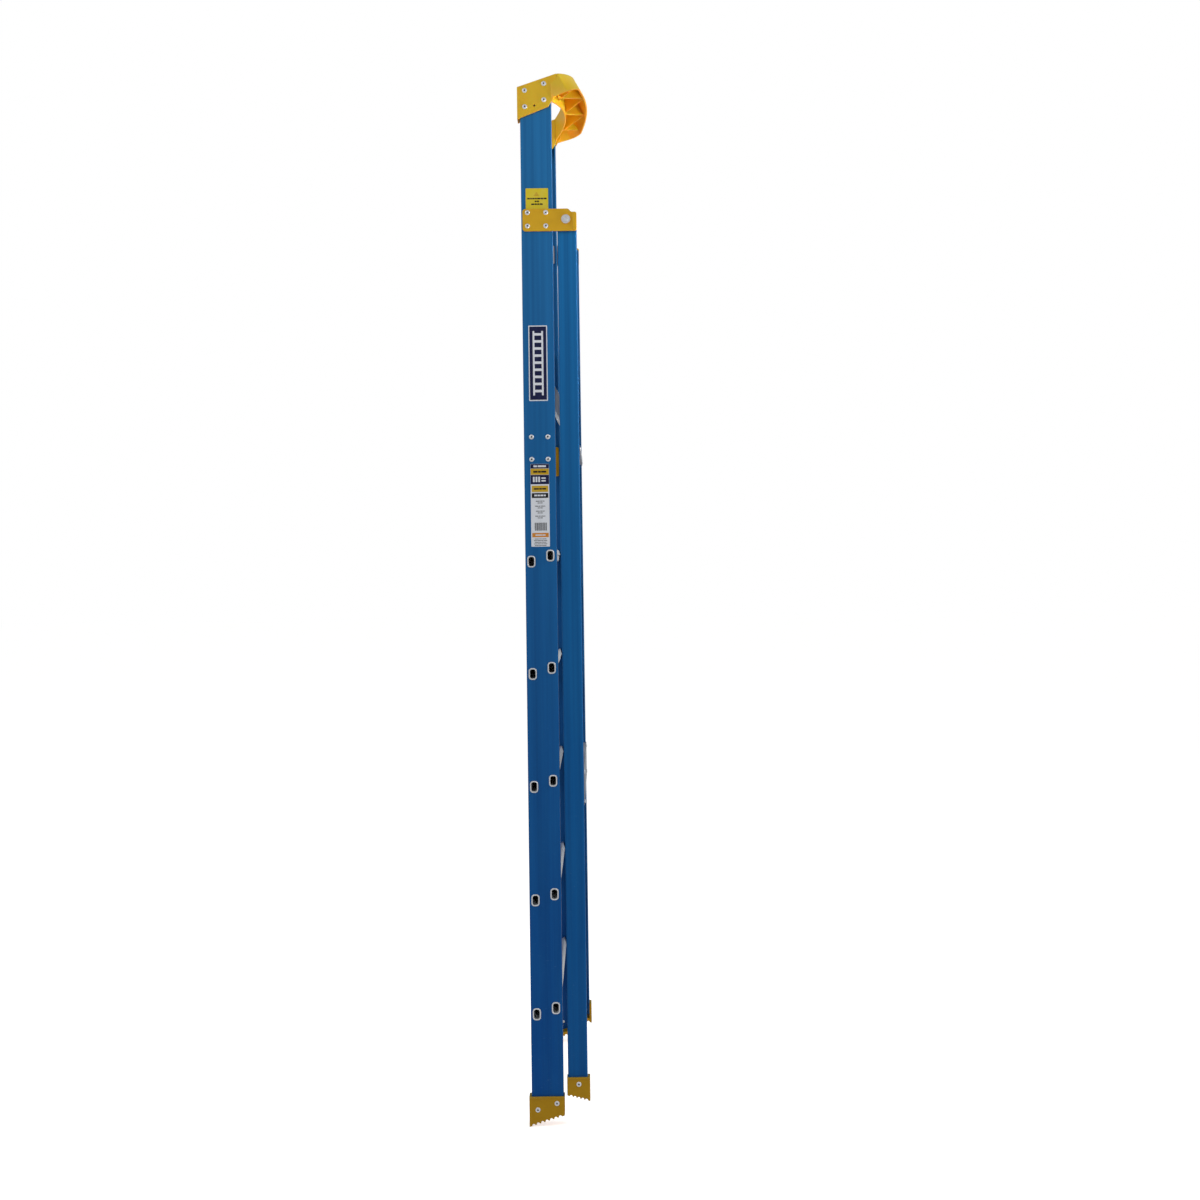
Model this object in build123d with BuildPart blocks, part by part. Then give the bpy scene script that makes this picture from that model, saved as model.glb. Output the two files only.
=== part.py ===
from build123d import *
from math import atan, cos, degrees, radians, sin, tan
import os

# Platform step ladder, folded shut and standing on its front feet.  Millimetres.
# X runs from the climbing side to the rear, Y from the right stile to the left one, Z is up.
# The origin is at the middle of the footprint, on the floor.

os.makedirs("parts", exist_ok=True)

# ---- driving dimensions -------------------------------------------------------------------
BASE_WIDTH = 724.6          # over the stiles, at the floor
SIDE_TAPER = 0.052          # each stile comes in by this much per unit of height
STEP_RISE = 313.7           # tread spacing along the stile
FIRST_TREAD = 323.4         # height of the lowest tread's rear tube
TREAD_COUNT = 5
FRONT_LEAN = 17.0           # lean of the stiles when the ladder stands open, degrees
REAR_LEAN = 14.0            # lean of the rear legs then
CAP_SLOPE = 18.5            # slope of the handrail when folded

STILE_DEPTH = 88.2          # web of the front stile, along X
STILE_FLANGE = 30.0
STILE_WALL = 3.5
LEG_FRONT = 101.0           # rear leg, from the stiles' front face
LEG_DEPTH = 54.5
LEG_REAR = LEG_FRONT + LEG_DEPTH
LEG_FLANGE = 25.0
LEG_WALL = 3.0
LEG_INSET = 4.0             # how far the rear leg stands inside the stile's outer face

CAP_FRONT = -7.7            # front of the handrail moulding, from the stiles' front face
CAP_TOP = 2901.3            # its height there
RAIL_BOW = 187.0            # how far the handrail reaches along its own slope
RAIL_DEPTH = 61.0           # depth of the handrail's skirt

HINGE_X = 125.5             # hinge bolt, from the stiles' front face
HINGE_Z = 2524.8
PLATFORM_X = 50.0           # platform pivot
PLATFORM_Z = 1877.0
CRANK = 226.0               # platform pivot to link pivot
LINK_POST_X = 130.0         # link pivot on the rear leg
LINK_POST_Z = 1937.6
BOLT_R = 6.0
RUNNING_GAP = 0.3           # between a bolt and the moving piece that turns on it

# ---- frames -------------------------------------------------------------------------------
RAIL_REAR = CAP_FRONT + RAIL_BOW * cos(radians(CAP_SLOPE)) + RAIL_DEPTH * sin(radians(CAP_SLOPE))
FRONT_X = -(CAP_FRONT + RAIL_REAR) / 2      # the stiles' front face
SPLAY = degrees(atan(SIDE_TAPER))
C_SPLAY = cos(radians(SPLAY))
S_SPLAY = sin(radians(SPLAY))
# Plane of the right stile's outer face: x runs rearwards, y up along the stile, z outwards.
SIDE = Plane(origin=(FRONT_X, -BASE_WIDTH / 2, 0), x_dir=(1, 0, 0), z_dir=(0, -C_SPLAY, S_SPLAY))
# Vertical plane along the ladder, seen from its right: x runs rearwards, y up, z to the right.
MIDDLE = Plane(origin=(FRONT_X, 0, 0), x_dir=(1, 0, 0), z_dir=(0, -1, 0))


def half(z):
    """Half the width over the stiles at height z."""
    return BASE_WIDTH / 2 - SIDE_TAPER * z


def along(z):
    """Distance along the stile that reaches height z."""
    return z / C_SPLAY


def on_side(points):
    """Points given by depth and height, as points of the SIDE plane."""
    return [(x, along(z)) for x, z in points]


def cross_plane(x, z, tilt=0.0):
    """A MIDDLE plane moved to (x, z) and tipped up towards the rear by tilt degrees."""
    c, s = cos(radians(tilt)), sin(radians(tilt))
    return Plane(origin=(FRONT_X + x, 0, z), x_dir=(c, 0, s), z_dir=(0, -1, 0))


def save(solid, name):
    solid.label = name
    export_step(solid, f"parts/{name}.step")


def save_pair(solid, name):
    """Write a right-hand piece and its mirror image on the left."""
    save(solid, f"{name}_right")
    save(mirror(solid, about=Plane.XZ), f"{name}_left")


def save_both_sides(solid, name):
    """Write a group of fasteners of the right side and of the left side as one node."""
    group = Compound(children=list(solid.solids()) + list(mirror(solid, about=Plane.XZ).solids()))
    save(group, name)


def tread_height(index):
    """Height of the rear tube of tread index, counted from the floor up."""
    return FIRST_TREAD + (index - 1) * STEP_RISE


# ---- treads -------------------------------------------------------------------------------
TUBE_FRONT = 16.9           # centres of the two tubes, from the stiles' front face
TUBE_REAR = 70.1
TUBE_DROP = (TUBE_REAR - TUBE_FRONT) * tan(radians(FRONT_LEAN))
TUBE_W = 19.0               # tube, across and along the stile
TUBE_H = 29.0
TUBE_WALL = 1.5
TUBE_CORNER = 0.36          # corner radius, as a share of the width
FLARE_GROW = 2.0            # rolled-over rim outside the web, beyond the tube
FLARE_T = 1.6
DECK_LENGTH = 75.0
DECK_SHIFT = 5.0            # deck's middle, rearwards of the tubes'
DECK_T = 2.5
DECK_TOP = 17.0             # top of the tread above the line through its tubes
DECK_RIBS = 9
LIP = 16.0


def tube_spots(index):
    z = tread_height(index)
    return [(TUBE_FRONT, z - TUBE_DROP), (TUBE_REAR, z)]


def tube_section(grow):
    """A tube's rounded section, grown by grow all round."""
    RectangleRounded(TUBE_W + 2 * grow, TUBE_H + 2 * grow, TUBE_CORNER * TUBE_W + grow)


def make_tread(index):
    z = tread_height(index)
    mid_x = (TUBE_FRONT + TUBE_REAR) / 2
    mid_z = z - TUBE_DROP / 2
    span = half(z + TUBE_H / 2) - STILE_WALL - 1.0
    tread_plane = cross_plane(mid_x, mid_z, FRONT_LEAN)
    with BuildPart() as tread:
        with BuildSketch(tread_plane):
            with Locations((DECK_SHIFT, DECK_TOP - DECK_T / 2)):
                Rectangle(DECK_LENGTH, DECK_T)
            pitch = (DECK_LENGTH - 6) / (DECK_RIBS - 1)
            with Locations((DECK_SHIFT, DECK_TOP + 0.5)):
                with GridLocations(pitch, 1, DECK_RIBS, 1):
                    Rectangle(2.4, 1.6)
            for side in (-1, 1):
                with Locations((DECK_SHIFT + side * (DECK_LENGTH - DECK_T) / 2, DECK_TOP - LIP / 2)):
                    Rectangle(DECK_T, LIP)
        extrude(amount=span, both=True)
        for x, height in tube_spots(index):
            with BuildSketch(MIDDLE):
                with Locations((x, height)):
                    tube_section(0)
            extrude(amount=half(height) + 0.8, both=True)
            with BuildSketch(SIDE):
                with Locations((x, along(height))):
                    tube_section(FLARE_GROW)
            extrude(amount=FLARE_T)
        mirror(about=Plane.XZ)
        for x, height in tube_spots(index):
            with BuildSketch(MIDDLE):
                with Locations((x, height)):
                    tube_section(-TUBE_WALL)
            extrude(amount=BASE_WIDTH, both=True, mode=Mode.SUBTRACT)
    return tread.part


for number in range(1, TREAD_COUNT + 1):
    save(make_tread(number), f"tread_{number}")

# ---- front stiles: pultruded channels, open towards the middle ------------------------------
SOLE_T = 14.0               # sole under the end of a stile or leg
CAP_PLATE = 5.0             # wall of the handrail moulding
RIVET_HOLE_R = 2.6
TUBE_SLACK = 0.2
FOOT_FRONT = -6.8           # front foot, from the stiles' front face
FOOT_REAR = 91.0
FOOT_TOP = 81.5
FOOT_WALL = 4.5


def sole_line(x):
    """Height of the front foot's sole at depth x."""
    return (x - FOOT_FRONT) * tan(radians(FRONT_LEAN))


def cap_line(x):
    """Height of the handrail's top face at depth x."""
    return CAP_TOP + (x - CAP_FRONT) * tan(radians(CAP_SLOPE))


HINGE_RIVETS = [(17.5, 2544.3), (69.2, 2544.3), (17.5, 2506.4), (69.2, 2506.4)]
PLATFORM_RIVETS = [(21.3, 1911.5), (67.3, 1911.5), (21.3, 1848.6), (67.3, 1848.6)]
CAP_RIVETS = [(13.8, 2891.3), (68.0, 2910.3), (68.0, 2864.3), (13.8, 2845.1)]
FOOT_RIVETS = [(17.0, 46.1), (69.8, 63.2)]
KIT_HOLE = (41.1, 2848.0)   # hole for fixing an accessory below the handrail
KIT_HOLE_R = 3.0

with BuildPart() as stile:
    with BuildSketch(SIDE):
        with BuildLine():
            Polyline(*on_side([(0, sole_line(0) + SOLE_T), (STILE_DEPTH, sole_line(STILE_DEPTH) + SOLE_T),
                               (STILE_DEPTH, cap_line(STILE_DEPTH) - CAP_PLATE - 0.3),
                               (0, cap_line(0) - CAP_PLATE - 0.3)]), close=True)
        make_face()
    extrude(amount=-STILE_FLANGE)
    fillet(stile.edges().filter_by(lambda e: e.length > 1000).sort_by(Axis.Y)[:2], 3.0)
    with BuildSketch(SIDE.offset(-STILE_WALL)):
        with Locations((STILE_DEPTH / 2, along(CAP_TOP / 2))):
            Rectangle(STILE_DEPTH - 2 * STILE_WALL, CAP_TOP + 400)
    extrude(amount=-STILE_FLANGE, mode=Mode.SUBTRACT)
    for tread_number in range(1, TREAD_COUNT + 1):
        with BuildSketch(MIDDLE):
            with Locations(*tube_spots(tread_number)):
                tube_section(TUBE_SLACK)
        extrude(amount=BASE_WIDTH, mode=Mode.SUBTRACT)
    with BuildSketch(SIDE):
        with Locations(*on_side(HINGE_RIVETS + PLATFORM_RIVETS + CAP_RIVETS + FOOT_RIVETS)):
            Circle(RIVET_HOLE_R)
        with Locations(*on_side([KIT_HOLE])):
            Circle(KIT_HOLE_R)
    extrude(amount=-2 * STILE_WALL, mode=Mode.SUBTRACT)

save_pair(stile.part, "stile")

# ---- feet: moulded shoes with a toothed sole ------------------------------------------------
TOOTH_GAP = 0.35            # radius of the scallops between teeth, as a share of their spacing
CHANNEL_GAP = 0.2
RIM_T = 1.6
RIM_H = 4.0


def make_foot(left, right, low, tilt, teeth, top, channel, outer, depth, holes):
    """A shoe from left to right round the end of a channel that sits outer inside the SIDE plane.
    channel is the channel's front and rear, low the height of the sole's left end, tilt its slope."""
    length = (right - left) / cos(radians(tilt))
    inner_left, inner_right = channel[0] - CHANNEL_GAP, channel[1] + CHANNEL_GAP
    sole = cross_plane(left, low, tilt)
    rise = tan(radians(tilt))
    with BuildPart() as foot:
        with BuildSketch(SIDE.offset(FOOT_WALL - outer)):
            with BuildLine():
                Polyline(*on_side([(left, -40), (right, -40), (right, top), (left, top)]), close=True)
            make_face()
        extrude(amount=-(FOOT_WALL + depth + 5))
        fillet(foot.edges().filter_by(Axis.X, reverse=True).filter_by(
            lambda e: e.length > top).sort_by(Axis.Y)[:2], 3.0)
        with BuildSketch(SIDE.offset(FOOT_WALL - outer + RIM_T)):
            with Locations(((left + right) / 2, along(top - RIM_H / 2))):
                Rectangle(right - left - 1, RIM_H)
        extrude(amount=-RIM_T - 1)
        with BuildSketch(SIDE.offset(-outer)):
            with BuildLine():
                Polyline(*on_side([(inner_left, low + (inner_left - left) * rise + SOLE_T),
                                   (inner_right, low + (inner_right - left) * rise + SOLE_T),
                                   (inner_right, top + 20), (inner_left, top + 20)]), close=True)
            make_face()
        extrude(amount=-(depth + 20), mode=Mode.SUBTRACT)
        with BuildSketch(sole):
            with Locations((length / 2, -low - 60)):
                Rectangle(3 * length, 2 * low + 120)
            with Locations((length / 2, 0)):
                with GridLocations(length / teeth, 1, teeth - 1, 1):
                    Circle(TOOTH_GAP * length / teeth)
        extrude(amount=BASE_WIDTH, both=True, mode=Mode.SUBTRACT)
        with BuildSketch(SIDE.offset(-outer)):
            with Locations(*on_side(holes)):
                Circle(RIVET_HOLE_R)
        extrude(amount=2 * FOOT_WALL, mode=Mode.SUBTRACT)
    return foot.part


save_pair(make_foot(FOOT_FRONT, FOOT_REAR, 0.0, FRONT_LEAN, 8, FOOT_TOP, (0.0, STILE_DEPTH), 0.0,
                    STILE_FLANGE, FOOT_RIVETS), "front_foot")

REAR_FOOT_LEFT = 98.4
REAR_FOOT_RIGHT = 162.2
REAR_FOOT_LOW = 83.0
REAR_FOOT_TOP = 132.0
REAR_FOOT_RIVET = [(131.0, 113.5)]
save_pair(make_foot(REAR_FOOT_LEFT, REAR_FOOT_RIGHT, REAR_FOOT_LOW, -REAR_LEAN, 6, REAR_FOOT_TOP,
                    (LEG_FRONT, LEG_REAR), LEG_INSET, LEG_FLANGE, REAR_FOOT_RIVET), "rear_foot")

# ---- rear legs: lighter channels, hung on the hinge bolts -----------------------------------
LEG_TOP = 2542.0
LEG_CORNER_R = 12.0
BAR_T = 2.0
BUSH_R = 10.0
BUSH_START = 223.2          # bush round the hinge bolt, from the middle plane
BUSH_END = 203.0
POST_R = 9.0
BOLT_BORE_R = BOLT_R + RUNNING_GAP
BARS = {"rear_bar_upper": (1877.0, 22.0), "rear_bar_lower": (931.5, 106.0)}     # height, depth
BAR_FORWARD = 16.0
BAR_END_IN = 7.0
REAR_FACE = Plane.YZ.offset(FRONT_X + LEG_REAR)


def bar_rivet_spots(z, height):
    """Rivets at a bar's ends, as points of the legs' rear face."""
    rows = [z] if height < 40 else [z - height / 2 + 12, z + height / 2 - 12]
    return [(side * (half(row) - LEG_INSET - LEG_FLANGE / 2), row) for row in rows for side in (-1, 1)]


def rear_sole_line(x):
    """Height of the rear foot's sole at depth x."""
    return REAR_FOOT_LOW - (x - REAR_FOOT_LEFT) * tan(radians(REAR_LEAN))


with BuildPart() as leg:
    with BuildSketch(SIDE.offset(-LEG_INSET)) as leg_face:
        with BuildLine():
            Polyline(*on_side([(LEG_FRONT, rear_sole_line(LEG_FRONT) + SOLE_T),
                               (LEG_REAR, rear_sole_line(LEG_REAR) + SOLE_T),
                               (LEG_REAR, LEG_TOP), (LEG_FRONT, LEG_TOP)]), close=True)
        make_face()
        fillet(leg_face.vertices().group_by(Axis.Z)[-1], LEG_CORNER_R)
    extrude(amount=-LEG_FLANGE)
    fillet(leg.edges().filter_by(lambda e: e.length > 1000).sort_by(Axis.Y)[:2], 4.0)
    with BuildSketch(SIDE.offset(-LEG_INSET - LEG_WALL)):
        with Locations(((LEG_FRONT + LEG_REAR) / 2, along(LEG_TOP / 2))):
            Rectangle(LEG_DEPTH - 2 * LEG_WALL, LEG_TOP + 400)
    extrude(amount=-LEG_FLANGE, mode=Mode.SUBTRACT)
    with BuildSketch(cross_plane(HINGE_X, HINGE_Z)):
        Circle(BOLT_BORE_R)
    extrude(amount=BASE_WIDTH, mode=Mode.SUBTRACT)
    with BuildSketch(SIDE):
        with Locations(*on_side(REAR_FOOT_RIVET)):
            Circle(RIVET_HOLE_R)
    extrude(amount=-3 * LEG_INSET, mode=Mode.SUBTRACT)
    with BuildSketch(REAR_FACE):
        for bar_z, bar_height in BARS.values():
            with Locations(*bar_rivet_spots(bar_z, bar_height)):
                Circle(RIVET_HOLE_R)
    extrude(amount=-2 * LEG_WALL, mode=Mode.SUBTRACT)

save_pair(leg.part, "rear_leg")

with BuildPart() as bush:
    with BuildSketch(cross_plane(HINGE_X, HINGE_Z).offset(BUSH_END)):
        Circle(BUSH_R)
        Circle(BOLT_BORE_R, mode=Mode.SUBTRACT)
    extrude(amount=BUSH_START - BUSH_END)

save_pair(bush.part, "hinge_bush")

# Post on the rear leg that the platform's link comes to.
LINK_OUTER = 218.5          # outer face of the link bars, from the middle plane
LINK_T = 4.0
POST_CLEAR = 0.6

with BuildPart() as post:
    with BuildSketch(cross_plane(LINK_POST_X, LINK_POST_Z).offset(LINK_OUTER + POST_CLEAR)):
        Circle(POST_R)
    extrude(amount=half(LINK_POST_Z) - LEG_INSET - LEG_WALL - 0.6 - LINK_OUTER - POST_CLEAR)
    with BuildSketch(SIDE.offset(-LEG_INSET - LEG_WALL)):
        with Locations((LINK_POST_X, along(LINK_POST_Z))):
            Rectangle(36, 60)
    extrude(amount=-2.5)

save_pair(post.part, "link_post")

# Rear bars: pressed channels riveted across the rear faces of the legs.
for bar_name, (bar_z, bar_height) in BARS.items():
    top_half = half(bar_z + bar_height / 2) - LEG_INSET
    with BuildPart() as bar:
        with BuildSketch(REAR_FACE):
            with Locations((0, bar_z)):
                RectangleRounded(2 * (top_half - BAR_END_IN), bar_height, 4)
        extrude(amount=BAR_T)
        for edge in (-1, 1):
            with BuildSketch(REAR_FACE):
                with Locations((0, bar_z + edge * (bar_height / 2 - BAR_T / 2))):
                    Rectangle(2 * (top_half - LEG_FLANGE - 5), BAR_T)
            extrude(amount=-BAR_FORWARD)
        with BuildSketch(REAR_FACE):
            with Locations(*bar_rivet_spots(bar_z, bar_height)):
                Circle(RIVET_HOLE_R)
        extrude(amount=BAR_T, mode=Mode.SUBTRACT)
    save(bar.part, bar_name)

# ---- hinge brackets, their backing plates and bolts -----------------------------------------
BRACKET_T = 3.5
BRACKET_FRONT = 3.6
BRACKET_REAR = 156.0
BRACKET_TOP = 2554.8
BRACKET_LOW = 2492.0
BRACKET_STEP = (133.0, 2545.5)
BEAD_W = 12.0
BEAD_T = 2.6
BEAD_CORNER = 5.8
STEP_CORNER = 8.0           # both bends of the step in the bracket's top edge
BOSS_R = 14.0
BOSS_OUT = 5.8              # outer boss, proud of the stile's face at the bolt
BOSS_IN = 3.0
FACE_AT_BOLT = half(HINGE_Z)

with BuildPart() as bracket:
    with BuildSketch(SIDE) as bracket_face:
        with BuildLine():
            Polyline(*on_side([(BRACKET_FRONT, BRACKET_LOW), (BRACKET_REAR, BRACKET_LOW),
                               (BRACKET_REAR, BRACKET_STEP[1]), (BRACKET_STEP[0] + 7, BRACKET_STEP[1]),
                               (BRACKET_STEP[0], BRACKET_TOP), (BRACKET_FRONT, BRACKET_TOP)]), close=True)
        make_face()
        fillet(bracket_face.vertices().group_by(Axis.X)[0], 8)
        fillet(bracket_face.vertices().group_by(Axis.X)[-1], BEAD_CORNER)
        bends = bracket_face.vertices().filter_by_position(Axis.X, BRACKET_STEP[0] - 1, BRACKET_STEP[0] + 8)
        fillet(bends, STEP_CORNER)
    extrude(amount=BRACKET_T)
    with BuildSketch(SIDE.offset(BRACKET_T)):
        with Locations((BRACKET_REAR - BEAD_W / 2, along((BRACKET_LOW + BRACKET_STEP[1]) / 2))):
            RectangleRounded(BEAD_W, along(BRACKET_STEP[1] - BRACKET_LOW), BEAD_CORNER)
    extrude(amount=BEAD_T)
    fillet(bracket.edges().filter_by(lambda e: e.length > 30).sort_by(Axis.Y)[:2], 2.0)
    with BuildSketch(cross_plane(HINGE_X, HINGE_Z).offset(FACE_AT_BOLT - BOSS_IN)):
        Circle(BOSS_R - 2)
    extrude(amount=BOSS_IN + 1)
    with BuildSketch(cross_plane(HINGE_X, HINGE_Z).offset(FACE_AT_BOLT + 1)):
        Circle(BOSS_R)
    extrude(amount=BOSS_OUT - 1)
    with BuildSketch(cross_plane(HINGE_X, HINGE_Z)):
        Circle(BOLT_R + 0.1)
    extrude(amount=BASE_WIDTH, mode=Mode.SUBTRACT)
    with BuildSketch(SIDE):
        with Locations(*on_side(HINGE_RIVETS)):
            Circle(RIVET_HOLE_R)
    extrude(amount=BRACKET_T, mode=Mode.SUBTRACT)

save_pair(bracket.part, "hinge_bracket")

BACKING_T = 3.0
with BuildPart() as backing:
    with BuildSketch(SIDE.offset(-STILE_WALL)):
        with Locations((43.0, along(2525.4))):
            RectangleRounded(72, 56, 4)
        with Locations(*on_side(HINGE_RIVETS)):
            Circle(RIVET_HOLE_R, mode=Mode.SUBTRACT)
    extrude(amount=-BACKING_T)

save_pair(backing.part, "hinge_backing")

HEAD_R = 8.2
HEAD_T = 5.0
WASHER_R = 12.5
WASHER_T = 1.6
NUT_FLATS = 18.0
NUT_T = 8.0
BOLT_END = BUSH_END - 0.4 - WASHER_T - NUT_T - 3.0

with BuildPart() as bolt:
    bolt_face = FACE_AT_BOLT + BOSS_OUT
    with BuildSketch(cross_plane(HINGE_X, HINGE_Z).offset(bolt_face + WASHER_T)):
        RegularPolygon(HEAD_R, 6)
    extrude(amount=HEAD_T)
    fillet(bolt.faces().sort_by(Axis.Y)[0].edges(), 1.0)
    with BuildSketch(cross_plane(HINGE_X, HINGE_Z).offset(BOLT_END)):
        Circle(BOLT_R)
    extrude(amount=bolt_face + WASHER_T - BOLT_END)

save_pair(bolt.part, "hinge_bolt")


def ring(start, thickness, outer, inner, sides=0):
    """A washer, or a nut when it has sides, on the hinge bolt's line."""
    with BuildPart() as piece:
        with BuildSketch(cross_plane(HINGE_X, HINGE_Z).offset(start)):
            if sides:
                RegularPolygon(outer, sides, major_radius=False)
            else:
                Circle(outer)
            Circle(inner, mode=Mode.SUBTRACT)
        extrude(amount=thickness)
    return piece.part


outer_washer = ring(bolt_face, WASHER_T, WASHER_R, BOLT_R + 0.1)
inner_washer = ring(BUSH_END - 0.4 - WASHER_T, WASHER_T, WASHER_R, BOLT_R + 0.1)
save_both_sides(Compound(children=[outer_washer, inner_washer]), "hinge_washers")
save_pair(ring(BUSH_END - 0.4 - WASHER_T - NUT_T, NUT_T, NUT_FLATS / 2, BOLT_R + 0.05, 6), "hinge_nut")

# ---- platform brackets inside the stiles ----------------------------------------------------
BRACKET_DEPTH = 4.0
PLATFORM_HALF = 210.0       # half the platform's width
PIVOT_BOSS_R = 13.0
PIVOT_BOSS_END = PLATFORM_HALF + 1.5
PIN_R = 6.0
PIN_END = PLATFORM_HALF - 14.0

with BuildPart() as mount:
    with BuildSketch(SIDE.offset(-STILE_WALL)):
        with Locations((47.5, along(1880.0))):
            RectangleRounded(72, 92, 6)
    extrude(amount=-BRACKET_DEPTH)
    with BuildSketch(cross_plane(PLATFORM_X, PLATFORM_Z).offset(PIVOT_BOSS_END)):
        Circle(PIVOT_BOSS_R)
    extrude(amount=half(PLATFORM_Z) - STILE_WALL - BRACKET_DEPTH + 1.5 - PIVOT_BOSS_END)
    with BuildSketch(cross_plane(PLATFORM_X, PLATFORM_Z).offset(PIVOT_BOSS_END)):
        Circle(PIN_R + 0.05)
    extrude(amount=25, mode=Mode.SUBTRACT)
    with BuildSketch(SIDE):
        with Locations(*on_side(PLATFORM_RIVETS)):
            Circle(RIVET_HOLE_R)
    extrude(amount=-4 * STILE_WALL, mode=Mode.SUBTRACT)

save_pair(mount.part, "platform_bracket")

with BuildPart() as pin:
    with BuildSketch(cross_plane(PLATFORM_X, PLATFORM_Z).offset(PIN_END)):
        Circle(PIN_R)
    extrude(amount=PIVOT_BOSS_END + 24 - PIN_END)
    with BuildSketch(cross_plane(PLATFORM_X, PLATFORM_Z).offset(PIN_END)):
        Circle(PIN_R + 2.5)
    extrude(amount=-3)

save_pair(pin.part, "platform_pin")

# ---- handrail: one moulding that caps both stiles and bows out behind them ---------------------
# Its own plane is level when the ladder stands open: x runs rearwards, y to the left, z up.
RAIL = Plane(origin=(FRONT_X + CAP_FRONT, 0, CAP_TOP),
             x_dir=(cos(radians(CAP_SLOPE)), 0, sin(radians(CAP_SLOPE))),
             z_dir=(-sin(radians(CAP_SLOPE)), 0, cos(radians(CAP_SLOPE))))
RAIL_WALL = 4.0
RAIL_START = 60.0
RAIL_JOINT_X = STILE_DEPTH + 0.4
# Inner edge of the rail, at the skirt's lower edge and at the top: rearmost point, radius.
HOLE_LOW = (116.0, 480.0)
HOLE_HIGH = (132.0, 540.0)
RIB_T = 3.0
RIB_MIDDLE = 148.0
RIB_REACH = 130.0
RIB_LEAN = 48.0
RIB_COUNT = 6
RIB_PITCH = 75.0
RIB_DEPTH = 50.0
# Each outline: half width at the start, end of the straight arm, a point on the corner,
# end of the corner, rearmost point.
RAIL_LOW = (217.0, (128.0, 229.0), (156.0, 220.0), (168.0, 194.0), RAIL_BOW)
RAIL_HIGH = (214.0, (122.0, 211.0), (147.0, 178.0), (167.0, 128.0), 178.0)


def rail_outline(shape, inset):
    """Closed outline of the handrail's outer skin, moved in by inset."""
    start, arm, corner, corner_end, rear = shape
    (arm_x, arm_y), (via_x, via_y), (end_x, end_y) = arm, corner, corner_end
    shift = 0.7 * inset
    for side in (-1, 1):
        Line((RAIL_START, side * (start - inset)), (arm_x, side * (arm_y - inset)))
        ThreePointArc((arm_x, side * (arm_y - inset)), (via_x - shift, side * (via_y - shift)),
                      (end_x - inset, side * end_y))
    ThreePointArc((end_x - inset, -end_y), (rear - inset, 0), (end_x - inset, end_y))
    Line((RAIL_START, -(start - inset)), (RAIL_START, start - inset))


def hole_body(grow):
    """The open space in front of the handrail's inner edge, grown by grow."""
    with BuildPart() as space:
        for level, (rear, radius) in ((-RAIL_DEPTH - 2, HOLE_LOW), (2, HOLE_HIGH)):
            with BuildSketch(RAIL.offset(level)):
                with Locations((rear - radius, 0)):
                    Circle(radius + grow)
        loft()
    return space.part


def rail_body(inset, low, high):
    with BuildPart() as body:
        with BuildSketch(RAIL.offset(low)):
            with BuildLine():
                rail_outline(RAIL_LOW, inset)
            make_face()
        with BuildSketch(RAIL.offset(high)):
            with BuildLine():
                rail_outline(RAIL_HIGH, inset)
            make_face()
        loft()
    return body.part


with BuildPart() as cavity:
    add(rail_body(RAIL_WALL, -RAIL_DEPTH - 1, -RAIL_WALL))
    add(hole_body(RAIL_WALL), mode=Mode.SUBTRACT)
    split(bisect_by=Plane.YZ.offset(FRONT_X + RAIL_JOINT_X + RAIL_WALL), keep=Keep.TOP)

with BuildPart() as ribs:
    with BuildSketch(RAIL.offset(-RIB_DEPTH)):
        for count in range(RIB_COUNT):
            lean = RIB_LEAN if count % 2 else -RIB_LEAN
            with Locations((RIB_MIDDLE, RIB_PITCH * (count + 0.5 - RIB_COUNT / 2))):
                Rectangle(RIB_REACH, RIB_T, rotation=lean)
    extrude(amount=RIB_DEPTH)
    add(cavity.part, mode=Mode.INTERSECT)

with BuildPart() as handrail:
    add(rail_body(0.0, -RAIL_DEPTH, 0.0))
    add(hole_body(0.0), mode=Mode.SUBTRACT)
    split(bisect_by=Plane.YZ.offset(FRONT_X + RAIL_JOINT_X), keep=Keep.TOP)
    add(cavity.part, mode=Mode.SUBTRACT)
    add(ribs.part)

# The cap at each end of the handrail is a pocket over the stile: outer, front, top and inner walls.
CAP_PLATE_REAR = 104.0
CAP_LOW_FRONT = 2811.0
CAP_LOW_REAR = (80.0, 2845.4)
CAP_STEP_UP = (CAP_PLATE_REAR, 2884.0)
CAP_LIP_DEPTH = 34.0
CAP_FACE_GAP = 0.2

with BuildPart() as cap:
    with BuildSketch(SIDE.offset(CAP_PLATE)):
        with BuildLine():
            Polyline(*on_side([(CAP_FRONT, CAP_LOW_FRONT), CAP_LOW_REAR, CAP_STEP_UP,
                               (CAP_PLATE_REAR, cap_line(CAP_PLATE_REAR)), (CAP_FRONT, CAP_TOP)]), close=True)
        make_face()
    extrude(amount=-CAP_PLATE - CAP_LIP_DEPTH)
    with BuildSketch(SIDE):
        with BuildLine():
            Polyline(*on_side([(-CAP_FACE_GAP, CAP_LOW_FRONT - 50), (CAP_PLATE_REAR + 20, CAP_LOW_FRONT - 50),
                               (CAP_PLATE_REAR + 20, cap_line(CAP_PLATE_REAR + 20) - CAP_PLATE),
                               (-CAP_FACE_GAP, cap_line(-CAP_FACE_GAP) - CAP_PLATE)]), close=True)
        make_face()
    extrude(amount=-STILE_FLANGE - CAP_FACE_GAP, mode=Mode.SUBTRACT)
    with BuildSketch(SIDE):
        with Locations((RAIL_JOINT_X + CAP_LIP_DEPTH, along(CAP_TOP))):
            Rectangle(2 * CAP_LIP_DEPTH, 8 * CAP_LIP_DEPTH)
    extrude(amount=-CAP_LIP_DEPTH - 1, mode=Mode.SUBTRACT)

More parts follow.
